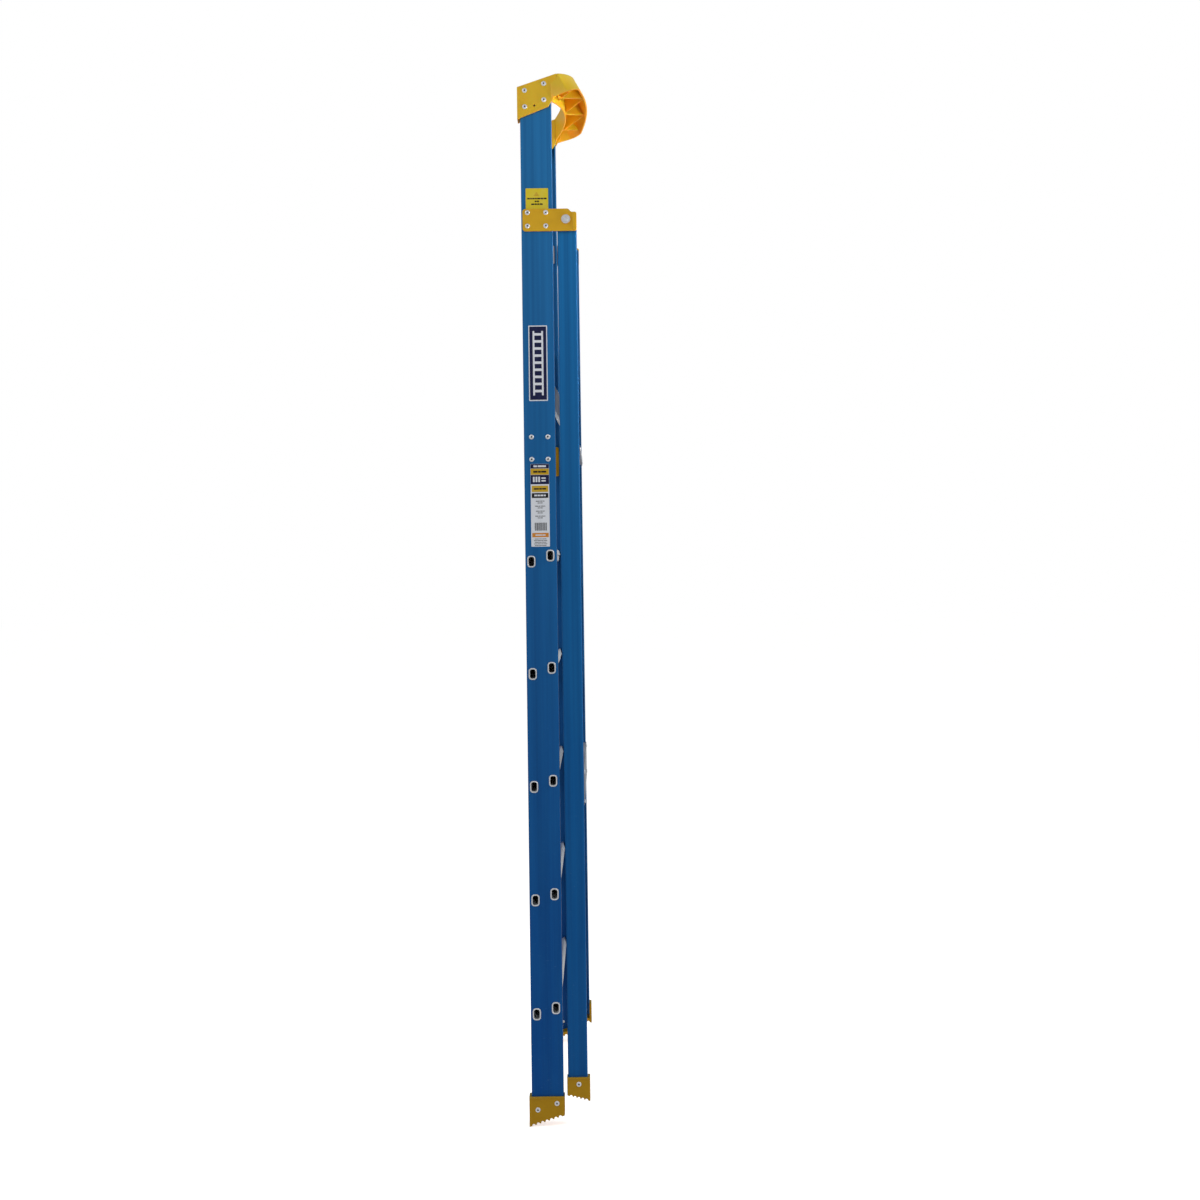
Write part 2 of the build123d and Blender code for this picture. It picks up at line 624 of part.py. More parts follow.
with BuildPart() as rail:
    add(handrail.part)
    add(cap.part)
    add(mirror(cap.part, about=Plane.XZ))
    with BuildSketch(SIDE):
        with Locations(*on_side(CAP_RIVETS)):
            Circle(RIVET_HOLE_R)
        with Locations(*on_side([KIT_HOLE])):
            Circle(KIT_HOLE_R)
    extrude(amount=CAP_PLATE + 1, mode=Mode.SUBTRACT)
    split(bisect_by=Plane.XZ, keep=Keep.TOP)
    mirror(about=Plane.XZ)

save(rail.part, "handrail")

# ---- platform: ribbed deck with side rails and a rear nosing ------------------------------------
# Folded, it stands on end between the stiles.  x runs from the pivot to the far edge, y to the top face.
FOLDED = Plane(origin=(FRONT_X + PLATFORM_X, 0, PLATFORM_Z), x_dir=(0, 0, 1), z_dir=(0, -1, 0))
DECK_NEAR = -26.0
DECK_FAR = 340.0
PLATE_TOP = 12.0
PLATE_T = 2.5
PLATE_RIB_PITCH = 12.0
PLATE_RIB_H = 1.4
WEB_DEPTH = 22.0
WEB_COUNT = 6
WEB_FOOT = 12.0
RAIL_T = 4.0
RAIL_LOW_T = 14.0
NOSE_LENGTH = 18.0

with BuildPart() as deck:
    inner_half = PLATFORM_HALF - RAIL_T
    with BuildSketch(FOLDED):
        with Locations(((DECK_NEAR + DECK_FAR) / 2, PLATE_TOP - PLATE_T / 2)):
            Rectangle(DECK_FAR - DECK_NEAR, PLATE_T)
        with Locations(((DECK_NEAR + DECK_FAR) / 2, PLATE_TOP + PLATE_RIB_H / 2 - 0.2)):
            with GridLocations(PLATE_RIB_PITCH, 1, int((DECK_FAR - DECK_NEAR) / PLATE_RIB_PITCH), 1):
                Rectangle(3.0, PLATE_RIB_H + 0.4)
        web_pitch = (DECK_FAR - DECK_NEAR - PLATE_T) / (WEB_COUNT - 1)
        for count in range(WEB_COUNT):
            web_x = DECK_NEAR + PLATE_T / 2 + count * web_pitch
            with Locations((web_x, PLATE_TOP - WEB_DEPTH / 2)):
                Rectangle(PLATE_T, WEB_DEPTH)
        for count in range(1, WEB_COUNT - 1):
            with Locations((DECK_NEAR + PLATE_T / 2 + count * web_pitch, PLATE_TOP - WEB_DEPTH + 1)):
                Rectangle(WEB_FOOT, 2)
    extrude(amount=inner_half, both=True)

save(deck.part, "platform_deck")

with BuildPart() as side_rail:
    with BuildSketch(FOLDED.offset(PLATFORM_HALF)) as rail_side:
        with BuildLine():
            Polyline((DECK_NEAR, PLATE_TOP), (DECK_FAR, PLATE_TOP), (DECK_FAR, -6), (CRANK + 40, -RAIL_LOW_T),
                     (DECK_NEAR, -RAIL_LOW_T), close=True)
        make_face()
        fillet(rail_side.vertices().group_by(Axis.X)[-1], 5)
    extrude(amount=-RAIL_T)
    with BuildSketch(FOLDED.offset(PLATFORM_HALF)):
        Circle(PIN_R + RUNNING_GAP)
    extrude(amount=-RAIL_T, mode=Mode.SUBTRACT)

save_pair(side_rail.part, "platform_side")

with BuildPart() as nosing:
    with BuildSketch(FOLDED):
        with Locations((DECK_FAR + NOSE_LENGTH / 2, (PLATE_TOP - 6) / 2 + 1)):
            RectangleRounded(NOSE_LENGTH, PLATE_TOP + 8, 6)
    extrude(amount=PLATFORM_HALF, both=True)
    with BuildSketch(FOLDED):
        with Locations((DECK_FAR - 10, 0)):
            Rectangle(20, 60)
    extrude(amount=PLATFORM_HALF + 5, both=True, mode=Mode.SUBTRACT)

save(nosing.part, "platform_nosing")

# ---- links: flat bars from the platform's sides to the posts on the rear legs -------------------
LINK_W = 30.0
LINK_PIN_R = 5.0
LINK_AT = (PLATFORM_X, PLATFORM_Z + CRANK)
LINK_RUN = (LINK_POST_X - LINK_AT[0], LINK_POST_Z - LINK_AT[1])
LINK_LENGTH = (LINK_RUN[0] ** 2 + LINK_RUN[1] ** 2) ** 0.5
LINK_SLOPE = degrees(atan(LINK_RUN[1] / LINK_RUN[0]))
LINK_INNER = LINK_OUTER - LINK_T

with BuildPart() as link:
    with BuildSketch(cross_plane(*LINK_AT).offset(LINK_INNER)):
        with Locations((LINK_RUN[0] / 2, LINK_RUN[1] / 2)):
            SlotOverall(LINK_LENGTH + LINK_W, LINK_W, rotation=LINK_SLOPE)
        Circle(LINK_PIN_R + RUNNING_GAP, mode=Mode.SUBTRACT)
    extrude(amount=LINK_T)
    with BuildSketch(cross_plane(LINK_POST_X, LINK_POST_Z).offset(LINK_INNER)):
        Circle(7.5)
    extrude(amount=-2.5)

save_pair(link.part, "link")

with BuildPart() as link_pin:
    with BuildSketch(cross_plane(*LINK_AT).offset(PLATFORM_HALF)):
        Circle(LINK_PIN_R)
    extrude(amount=LINK_OUTER + 0.4 - PLATFORM_HALF)
    with BuildSketch(cross_plane(*LINK_AT).offset(PLATFORM_HALF)):
        Circle(9.0)
    extrude(amount=LINK_INNER - 0.4 - PLATFORM_HALF)
    with BuildSketch(cross_plane(*LINK_AT).offset(LINK_OUTER + 0.4)):
        Circle(8.0)
    extrude(amount=2.0)

save_pair(link_pin.part, "link_pin")

# ---- labels on the right stile ------------------------------------------------------------------
LABEL_T = 0.4
LABELS = {
    "notice_label": ((13.2, 76.8), (2555.4, 2614.2)),
    "name_label": ((16.3, 69.0), (2012.8, 2225.4)),
    "rating_label": ((17.5, 69.5), (1603.5, 1835.4)),
}
for label_name, ((label_front, label_rear), (label_low, label_high)) in LABELS.items():
    with BuildPart() as label:
        with BuildSketch(SIDE):
            with Locations(((label_front + label_rear) / 2, along((label_low + label_high) / 2))):
                RectangleRounded(label_rear - label_front, along(label_high - label_low), 1.5)
        extrude(amount=LABEL_T)
    save(label.part, label_name)

# ---- rivets ---------------------------------------------------------------------------------------
RIVET_HEAD_R = 6.2
RIVET_HEAD_T = 2.0
RIVET_TAIL_R = 4.5
RIVET_TAIL_T = 2.0


def rivet(plane, grip, spots):
    """Blind rivets on a plane: dished heads outside, shanks through grip, tails behind."""
    with BuildPart(plane) as group:
        with Locations(*[(x, y, 0) for x, y in spots]):
            Cone(RIVET_HEAD_R, RIVET_HEAD_R - 2.2, RIVET_HEAD_T,
                 align=(Align.CENTER, Align.CENTER, Align.MIN))
            Cylinder(RIVET_HOLE_R - 0.05, grip, align=(Align.CENTER, Align.CENTER, Align.MAX))
        with Locations(*[(x, y, -grip) for x, y in spots]):
            Cylinder(RIVET_TAIL_R, RIVET_TAIL_T, align=(Align.CENTER, Align.CENTER, Align.MAX))
        with Locations(*[(x, y, RIVET_HEAD_T) for x, y in spots]):
            Cylinder(1.7, 1.2, align=(Align.CENTER, Align.CENTER, Align.MAX), mode=Mode.SUBTRACT)
    return group.part


save_both_sides(rivet(SIDE.offset(BRACKET_T), BRACKET_T + STILE_WALL + BACKING_T, on_side(HINGE_RIVETS)),
                "hinge_rivets")
save_both_sides(rivet(SIDE, STILE_WALL + BRACKET_DEPTH, on_side(PLATFORM_RIVETS)), "platform_rivets")
save_both_sides(rivet(SIDE.offset(CAP_PLATE), CAP_PLATE + STILE_WALL, on_side(CAP_RIVETS)), "handrail_rivets")
save_both_sides(rivet(SIDE.offset(FOOT_WALL), FOOT_WALL + STILE_WALL, on_side(FOOT_RIVETS)),
                "front_foot_rivets")
bar_spots = [spot for z, height in BARS.values() for spot in bar_rivet_spots(z, height)]
save(rivet(REAR_FACE.offset(BAR_T), BAR_T + LEG_WALL, bar_spots), "rear_bar_rivets")
save_both_sides(rivet(SIDE.offset(FOOT_WALL - LEG_INSET), FOOT_WALL + LEG_WALL, on_side(REAR_FOOT_RIVET)),
                "rear_foot_rivets")
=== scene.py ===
# %% [markdown]
# # A folded platform step ladder
# The real object is a fibreglass step ladder, folded shut and standing on its front feet.
# Its measured shape comes from the CAD frame, and this lesson gives it finishes, rolled rims,
# rivets and printed labels.  The frame is loaded first, because every new piece rides on one of
# its bodies.

# %% Load the frame
import math

import bpy
from mathutils import Matrix, Vector


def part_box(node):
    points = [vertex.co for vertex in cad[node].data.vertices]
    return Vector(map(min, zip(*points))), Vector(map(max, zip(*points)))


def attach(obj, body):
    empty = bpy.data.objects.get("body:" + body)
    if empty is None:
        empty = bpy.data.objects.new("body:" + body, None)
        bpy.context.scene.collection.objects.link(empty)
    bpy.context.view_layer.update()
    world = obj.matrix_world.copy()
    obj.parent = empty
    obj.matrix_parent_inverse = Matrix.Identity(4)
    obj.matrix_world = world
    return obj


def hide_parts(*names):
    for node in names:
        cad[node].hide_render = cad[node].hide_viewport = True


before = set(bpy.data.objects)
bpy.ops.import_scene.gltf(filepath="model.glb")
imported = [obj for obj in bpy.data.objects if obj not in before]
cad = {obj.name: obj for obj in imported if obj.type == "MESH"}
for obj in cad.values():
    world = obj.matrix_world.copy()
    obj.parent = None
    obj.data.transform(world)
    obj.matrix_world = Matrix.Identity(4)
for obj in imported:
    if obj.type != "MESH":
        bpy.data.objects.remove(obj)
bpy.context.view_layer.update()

# %% [markdown]
# ## Measures shared by the new pieces
# The right stile leans in by a constant taper.  Flat details on its outer face are modelled lying
# flat at the origin, with x rearwards, y up the stile and z outwards, and are then stood up on the
# face with one rotation.  That keeps each number the same as on a drawing of the stile.

# %% Stile face
MM = 0.001
BASE_WIDTH = 724.6 * MM
SIDE_TAPER = 0.052
SPLAY = math.atan(SIDE_TAPER)
FRONT_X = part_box("stile_right")[0][0]
RIGHT, LEFT = -1, 1


def face_matrix(side):
    """Stands a flat piece up on the outer face of the stile on that side."""
    lean = math.cos(SPLAY), math.sin(SPLAY)
    out = Vector((0, side * lean[0], lean[1]))
    up = Vector((0, -side * lean[1], lean[0]))
    turn = Matrix(((1, 0, 0), (0, up.y, out.y), (0, up.z, out.z))).to_4x4()
    return Matrix.Translation((FRONT_X, side * BASE_WIDTH / 2, 0)) @ turn


def along(height):
    """Distance up the stile's face that reaches a height."""
    return height / math.cos(SPLAY)


print("stile front face at x =", round(FRONT_X, 4))

# %% [markdown]
# ## Small helpers for modelling by hand
# Every operator acts on what is selected, so each step starts with nothing selected.  Faces are
# picked by their normal, which is how one would click them.

# %% Modelling helpers
def alone(*pieces):
    """Select only these pieces and make the first one active."""
    bpy.ops.object.select_all(action="DESELECT")
    for piece in pieces:
        piece.select_set(True)
    bpy.context.view_layer.objects.active = pieces[0]


def pick_faces(piece, test):
    """In edit mode, select the faces for which test(face) holds."""
    bpy.ops.object.mode_set(mode="OBJECT")
    for part in (piece.data.vertices, piece.data.edges, piece.data.polygons):
        for item in part:
            item.select = False
    for face in piece.data.polygons:
        face.select = bool(test(face))
    bpy.ops.object.mode_set(mode="EDIT")
    bpy.ops.mesh.select_mode(type="FACE")


def place(piece, matrix):
    """Move a piece to its place and leave its object at the origin."""
    piece.matrix_world = matrix @ piece.matrix_world
    alone(piece)
    bpy.ops.object.transform_apply(location=True, rotation=True, scale=True)


print("selecting and placing helpers ready")

# %% [markdown]
# Rims and rivets repeat many times.  One is modelled, copied with its own mesh to each place, and all
# are joined to one piece, so that a set of rivets is as easy to handle as a single one.

# %% Repeating and finishing helpers
def copies(piece, matrices, name):
    """Put a copy of piece at each matrix, join them, and drop the pattern piece."""
    made = []
    for matrix in matrices:
        twin = piece.copy()
        twin.data = piece.data.copy()
        bpy.context.collection.objects.link(twin)
        place(twin, matrix)
        made.append(twin)
    bpy.data.objects.remove(piece)
    alone(*made)
    bpy.ops.object.join()
    joined = bpy.context.object
    joined.name = name
    joined.data.name = name
    bpy.ops.object.mode_set(mode="EDIT")
    bpy.ops.mesh.select_all(action="SELECT")
    bpy.ops.mesh.normals_make_consistent(inside=False)
    bpy.ops.object.mode_set(mode="OBJECT")
    bpy.ops.object.shade_smooth_by_angle(angle=math.radians(35))
    return joined


def finish_piece(piece, finish, body):
    """Give a new piece its finish, unless it already has its own, and its body."""
    if finish:
        piece.data.materials.clear()
        piece.data.materials.append(finish)
    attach(piece, body)
    print(piece.name, "rides on", body, "with", len(piece.data.polygons), "faces")


print("repeating and finishing helpers ready")

# %% [markdown]
# ## Helpers for finishes
# Each finish is a small node tree on Object coordinates.  Two masks are used again and again:
# soft noise for uneven colour, and an edge mask.  The Bevel node rounds the shading of sharp CAD
# edges, and where its normal differs from the true one there is an edge, which is where real
# coatings rub away first.

# %% Finish builder
def rgb(red, green, blue):
    """A colour given as 0 to 255 screen values, as linear light."""
    def linear(value):
        value = value / 255
        return value / 12.92 if value <= 0.04045 else ((value + 0.055) / 1.055) ** 2.4
    return (linear(red), linear(green), linear(blue), 1.0)


class Finish:
    """A material being built: add() makes nodes, join() links sockets."""

    def __init__(self, name):
        self.material = bpy.data.materials.new(name)
        self.material.use_nodes = True
        self.tree = self.material.node_tree
        self.shader = self.tree.nodes["Principled BSDF"]
        self.coords = self.add("ShaderNodeTexCoord")

    def add(self, kind, **settings):
        node = self.tree.nodes.new(kind)
        for key, value in settings.items():
            setattr(node, key, value)
        return node

    def join(self, source, target):
        self.tree.links.new(source, target)

    def stretched(self, scale):
        """Object coordinates, scaled differently along each axis."""
        mapping = self.add("ShaderNodeMapping")
        mapping.inputs["Scale"].default_value = scale
        self.join(self.coords.outputs["Object"], mapping.inputs["Vector"])
        return mapping.outputs["Vector"]

    def noise(self, vector, scale, detail=4.0, rough=0.55):
        texture = self.add("ShaderNodeTexNoise")
        texture.inputs["Scale"].default_value = scale
        texture.inputs["Detail"].default_value = detail
        texture.inputs["Roughness"].default_value = rough
        self.join(vector, texture.inputs["Vector"])
        return texture.outputs["Fac"]

    def spread(self, value, low, high, to_low=0.0, to_high=1.0):
        """Map low..high to to_low..to_high."""
        remap = self.add("ShaderNodeMapRange")
        for socket, number in zip(("From Min", "From Max", "To Min", "To Max"), (low, high, to_low, to_high)):
            remap.inputs[socket].default_value = number
        self.join(value, remap.inputs["Value"])
        return remap.outputs["Result"]

    def math(self, operation, first, second):
        node = self.add("ShaderNodeMath", operation=operation)
        for socket, value in zip(node.inputs, (first, second)):
            if isinstance(value, (int, float)):
                socket.default_value = value
            else:
                self.join(value, socket)
        return node.outputs["Value"]

    def mix(self, amount, first, second, blend="MIX"):
        node = self.add("ShaderNodeMix", data_type="RGBA", blend_type=blend)
        for socket, value in ((node.inputs[0], amount), (node.inputs[6], first), (node.inputs[7], second)):
            if isinstance(value, (int, float, tuple)):
                socket.default_value = value
            else:
                self.join(value, socket)
        return node.outputs[2]

    def soft_edges(self, radius):
        """Normal of softly rounded edges, and a mask of those edges."""
        bevel = self.add("ShaderNodeBevel", samples=4)
        bevel.inputs["Radius"].default_value = radius
        geometry = self.add("ShaderNodeNewGeometry")
        dot = self.add("ShaderNodeVectorMath", operation="DOT_PRODUCT")
        self.join(bevel.outputs["Normal"], dot.inputs[0])
        self.join(geometry.outputs["Normal"], dot.inputs[1])
        return bevel.outputs["Normal"], self.spread(dot.outputs["Value"], 0.985, 0.80)

    def close(self, color, roughness, height, depth, normal, metallic=0.0, **fixed):
        """Connect the finished values to the shader."""
        self.join(color, self.shader.inputs["Base Color"])
        self.join(roughness, self.shader.inputs["Roughness"])
        self.shader.inputs["Metallic"].default_value = metallic
        for socket, value in fixed.items():
            self.shader.inputs[socket.replace("_", " ")].default_value = value
        bump = self.add("ShaderNodeBump")
        bump.inputs["Strength"].default_value = 0.6
        bump.inputs["Distance"].default_value = depth
        self.join(height, bump.inputs["Height"])
        self.join(normal, bump.inputs["Normal"])
        self.join(bump.outputs["Normal"], self.shader.inputs["Normal"])
        return self.material


print("finish builder ready")

# %% [markdown]
# A CAD node keeps its mesh and only has its finish changed.  Most nodes come in a right and a left
# one, so a second helper gives both names.

# %% Dressing helpers
def dress(finish, *names):
    """Give CAD nodes a finish."""
    for name in names:
        for material_slot in cad[name].material_slots:
            material_slot.material = finish
    print(finish.name, "on", len(names), "nodes")


def pair(name):
    return name + "_right", name + "_left"


print("dressing helpers ready")

# %% [markdown]
# ## Blue fibreglass
# Stiles and rear legs are pultruded: glass strands and resin are pulled through a die, so the
# surface has faint streaks that run the whole length.  The streaks are noise stretched along the
# channel.  The lean of the channel is taken off first, or the streaks would drift across it.
# Rubbed corners go paler, partly as wear and partly as a painted highlight along them.  The lower
# ends carry more scuffs than the top.  The rear legs have rounder corners than the stiles, so their
# edge mask is wider.  The blue is also painted darker at the bottom and lighter at the top, as
# painted light from above.

# %% Fibreglass
def fibreglass(name, shaded_low_blue, lit_high_blue, corner):
    finish = Finish(name)
    axes = finish.add("ShaderNodeSeparateXYZ")
    finish.join(finish.coords.outputs["Object"], axes.inputs[0])
    lean = finish.math("MULTIPLY", axes.outputs["Z"], SIDE_TAPER)
    upright_y = finish.math("ADD", finish.math("ABSOLUTE", axes.outputs["Y"], 0.0), lean)
    straight = finish.add("ShaderNodeCombineXYZ")
    finish.join(axes.outputs["X"], straight.inputs["X"])
    finish.join(upright_y, straight.inputs["Y"])
    finish.join(finish.math("MULTIPLY", axes.outputs["Z"], 0.012), straight.inputs["Z"])
    streak = finish.noise(straight.outputs[0], 420, 5, 0.6)
    band = finish.noise(straight.outputs[0], 70, 2)
    cloud = finish.noise(finish.stretched((9, 9, 2.2)), 1.0, 3)
    grain = finish.noise(finish.stretched((900, 900, 260)), 1.0, 2)
    # Painted light: the blue is mixed from a darker shade at the bottom to a lighter one at the top, as if
    # lit more strongly from above.
    height = finish.spread(axes.outputs["Z"], 0.2, 2.7)
    body = finish.mix(height, shaded_low_blue, lit_high_blue)
    color = finish.mix(finish.spread(streak, 0.3, 0.72, 0.0, 0.16), body, rgb(40, 126, 184))
    color = finish.mix(finish.spread(band, 0.35, 0.7, 0.0, 0.3), color, rgb(10, 48, 98))
    color = finish.mix(finish.spread(cloud, 0.4, 0.75, 0.0, 0.3), color, rgb(30, 110, 170))
    normal, edge = finish.soft_edges(corner)
    # Paler corners: partly rubbed wear, partly a painted highlight along the corner, widest on the rounder
    # rear-leg corners.
    wear_and_highlight_edge = finish.math("MULTIPLY", edge, finish.spread(cloud, 0.4, 0.6, 0.35, 0.7))
    color = finish.mix(wear_and_highlight_edge, color, rgb(112, 172, 210))
    scuff = finish.noise(finish.stretched((60, 60, 380)), 1.0, 6, 0.7)
    low_down = finish.spread(axes.outputs["Z"], 1.4, 0.1, 0.05, 0.55)
    marks = finish.math("MULTIPLY", finish.spread(scuff, 0.64, 0.74), low_down)
    color = finish.mix(marks, color, rgb(112, 156, 192))
    rough = finish.spread(finish.math("ADD", streak, marks), 0.3, 1.2, 0.34, 0.62)
    relief = finish.math("ADD", streak, finish.math("MULTIPLY", grain, 0.5))
    return finish.close(color, rough, relief, 0.12 * MM, normal, Specular_IOR_Level=0.1)


stile_blue = fibreglass("stile_blue_fibreglass", rgb(0, 70, 146), rgb(44, 122, 184), 1.6 * MM)
leg_blue = fibreglass("leg_blue_fibreglass", rgb(0, 78, 150), rgb(34, 122, 188), 3.0 * MM)
dress(stile_blue, *pair("stile"))
dress(leg_blue, *pair("rear_leg"))

# %% [markdown]
# ## Yellow
# Handrail, brackets and feet are all yellow, so one recipe serves them with other numbers.  It has a
# soft cloud of a second shade, dark specks of dirt and paler edges.  Faces that look down are mixed
# towards orange, a shortcut for the warm light that yellow faces throw on each other.

# %% Yellow recipe
def yellow(name, top, shade, edge_color, wear, grain_scale, rough_low, rough_high):
    finish = Finish(name)
    cloud = finish.noise(finish.stretched((14, 14, 14)), 1.0, 4)
    speck = finish.noise(finish.stretched((240, 240, 240)), 1.0, 5, 0.65)
    grain = finish.noise(finish.stretched((grain_scale,) * 3), 1.0, 3)
    geometry = finish.add("ShaderNodeNewGeometry")
    axes = finish.add("ShaderNodeSeparateXYZ")
    finish.join(geometry.outputs["Normal"], axes.inputs[0])
    under = finish.spread(axes.outputs["Z"], 0.25, -0.55)
    color = finish.mix(finish.spread(cloud, 0.35, 0.7, 0.0, 0.4), top, shade)
    color = finish.mix(finish.math("MULTIPLY", under, 0.8), color, rgb(250, 158, 12))
    color = finish.mix(finish.spread(speck, 0.66, 0.78, 0.0, 0.45), color, rgb(120, 92, 24))
    normal, edge = finish.soft_edges(1.6 * MM)
    worn = finish.math("MULTIPLY", edge, finish.spread(cloud, 0.38, 0.62, 0.15, 1.0))
    in_the_open = finish.spread(under, 0.0, 1.0, wear, 0.12 * wear)
    color = finish.mix(finish.math("MULTIPLY", worn, in_the_open), color, edge_color)
    rough = finish.spread(finish.math("ADD", speck, worn), 0.3, 1.4, rough_low, rough_high)
    return finish, color, rough, grain, normal


print("yellow recipe ready")

# %% [markdown]
# The handrail is one thick moulding in ochre plastic with a fine grain.  Light passes a little way
# into plastic before it comes out again, which softens the shadows between the ribs.  A share of
# subsurface scattering gives that.

# %% Handrail moulding
def moulding():
    finish, color, rough, grain, normal = yellow(
        "handrail_yellow_moulding", rgb(240, 204, 44), rgb(224, 184, 32), rgb(248, 238, 158),
        0.65, 1100, 0.36, 0.6)
    finish.shader.inputs["Subsurface Radius"].default_value = (1.0, 0.42, 0.04)
    return finish.close(color, rough, grain, 0.10 * MM, normal, Specular_IOR_Level=0.4,
                        Subsurface_Weight=0.35, Subsurface_Scale=9 * MM)


dress(moulding(), "handrail")

# %% [markdown]
# Brackets and feet are harder, with a duller surface and no light inside.  The feet are a darker yellow
# than the brackets, and more worn, because they are dragged over the ground.

# %% Painted brackets and feet
def paint(name, top, shade, wear):
    finish, color, rough, grain, normal = yellow(
        name, top, shade, rgb(232, 216, 138), wear, 700, 0.38, 0.68)
    return finish.close(color, rough, grain, 0.12 * MM, normal, Specular_IOR_Level=0.2)


bracket_yellow = paint("bracket_yellow", rgb(226, 186, 44), rgb(206, 160, 34), 0.55)
foot_yellow = paint("foot_yellow", rgb(164, 136, 6), rgb(138, 108, 4), 0.9)
dress(bracket_yellow, *pair("hinge_bracket"), *pair("platform_bracket"))
dress(foot_yellow, *pair("front_foot"), *pair("rear_foot"))

# %% [markdown]
# ## Bare aluminium
# Treads, platform and links are extrusions.  Their die lines run along the piece, across the ladder,
# so the noise is stretched along Y.  On the side rails and links, which lie the other way, the lines
# are stretched along Z instead.  A dull cloud and thin scratches break up the shine.  Bare metal would
# be fully metallic.  It is less here on purpose: full metal shows only what it mirrors, and in this
# empty scene that is mostly a dim sky, so it would look too dark.

# %% Aluminium
METAL = 0.55
TREAD_COUNT = 5


def aluminium(name, lines, tone, rough_low=0.28, rough_high=0.5):
    finish = Finish(name)
    die_line = finish.noise(finish.stretched(lines), 1.0, 4, 0.6)
    cloud = finish.noise(finish.stretched((25, 12, 25)), 1.0, 4)
    scratch = finish.noise(finish.stretched((120, 700, 700)), 1.0, 5, 0.75)
    color = finish.mix(finish.spread(cloud, 0.35, 0.7, 0.0, 0.4), tone, rgb(190, 194, 198))
    color = finish.mix(finish.spread(scratch, 0.63, 0.75, 0.0, 0.5), color, rgb(238, 240, 242))
    normal, edge = finish.soft_edges(0.6 * MM)
    color = finish.mix(finish.math("MULTIPLY", edge, 0.4), color, rgb(244, 245, 246))
    rough = finish.spread(finish.math("ADD", die_line, finish.math("MULTIPLY", cloud, 0.6)),
                          0.4, 1.1, rough_low, rough_high)
    return finish.close(color, rough, die_line, 0.05 * MM, normal, metallic=METAL, Anisotropic=0.35)


across = aluminium("tread_aluminium", (700, 5, 700), rgb(224, 227, 230))
upright = aluminium("rail_aluminium", (700, 700, 6), rgb(220, 223, 227))
backing = aluminium("backing_aluminium", (500, 500, 8), rgb(150, 156, 166), 0.36, 0.6)
dress(across, *["tread_%d" % (number + 1) for number in range(TREAD_COUNT)], "platform_deck")
dress(upright, *pair("platform_side"), *pair("link"), *pair("hinge_backing"))
dress(backing, "rear_bar_upper", "rear_bar_lower")

# %% [markdown]
# ## Zinc-plated steel
# Bolts, washers, nuts, pins and rivets are plated.  Zinc shows a fine crystal mottling, which a
# Voronoi texture gives, and dark dirt collects where the noise is high.  The metallic share is kept
# low for the same reason as for aluminium.  The rolled rims of the treads are aluminium, but so small
# that no die lines show, so they use this recipe too, with less dirt.

# %% Zinc
def zinc(name, dirt, metallic):
    finish = Finish(name)
    crystal = finish.add("ShaderNodeTexVoronoi")
    crystal.inputs["Scale"].default_value = 900
    finish.join(finish.coords.outputs["Object"], crystal.inputs["Vector"])
    facet = finish.add("ShaderNodeSeparateColor")
    finish.join(crystal.outputs["Color"], facet.inputs[0])
    grime = finish.noise(finish.stretched((150, 150, 150)), 1.0, 5, 0.7)
    color = finish.mix(finish.spread(facet.outputs["Red"], 0.0, 1.0), rgb(222, 224, 228), rgb(242, 244, 247))
    color = finish.mix(finish.spread(grime, 0.5, 0.75, 0.0, dirt), color, rgb(92, 86, 76))
    normal, edge = finish.soft_edges(0.4 * MM)
    color = finish.mix(finish.math("MULTIPLY", edge, 0.5), color, rgb(236, 238, 240))
    rough = finish.spread(finish.math("ADD", facet.outputs["Red"], grime), 0.2, 1.7, 0.26, 0.55)
    return finish.close(color, rough, grime, 0.04 * MM, normal, metallic=metallic)


bolt_zinc = zinc("bolt_zinc", 0.3, 0.6)
rivet_zinc = zinc("rivet_zinc", 0.2, 0.3)
rim_pale = zinc("rim_aluminium", 0.1, 0.15)
dress(bolt_zinc, "hinge_washers", *pair("hinge_bolt"), *pair("hinge_nut"), *pair("platform_pin"),
      *pair("link_pin"), *pair("link_post"), *pair("hinge_bush"))

# %% [markdown]
# The mandrel that set a blind rivet snaps off inside its head.  The broken steel end isn't plated, so
# it is dark and lightly rusted.

# %% Snapped mandrels
def snapped_steel():
    finish = Finish("mandrel_steel")
    rust = finish.noise(finish.stretched((600, 600, 600)), 1.0, 4)
    color = finish.mix(finish.spread(rust, 0.4, 0.65), rgb(38, 32, 34), rgb(78, 58, 50))
    normal, edge = finish.soft_edges(0.2 * MM)
    rough = finish.spread(finish.math("ADD", rust, edge), 0.3, 0.9, 0.5, 0.75)
    return finish.close(color, rough, rust, 0.05 * MM, normal, metallic=0.3)


mandrel_steel = snapped_steel()
print("mandrel finish ready")

# %% [markdown]
# ## Rubber nosing
# The platform's rear edge wears a black rubber nosing.  Rubber is never clean black: it carries pale
# dust in its grain.  Its edge is painted a little paler, a painted sheen for the polish it takes on.

# %% Rubber
def rubber():
    finish = Finish("nosing_rubber")
    dust = finish.noise(finish.stretched((40, 14, 40)), 1.0, 5, 0.65)
    grain = finish.noise(finish.stretched((800, 800, 800)), 1.0, 3)
    color = finish.mix(finish.spread(dust, 0.45, 0.75, 0.0, 0.5), rgb(30, 30, 32), rgb(92, 90, 86))
    normal, edge = finish.soft_edges(1.0 * MM)
    # Painted sheen: the edge is painted a little paler where the rubber polishes.
    color = finish.mix(finish.math("MULTIPLY", edge, 0.3), color, rgb(70, 70, 72))
    rough = finish.spread(dust, 0.3, 0.7, 0.55, 0.85)
    return finish.close(color, rough, grain, 0.15 * MM, normal, Specular_IOR_Level=0.3)


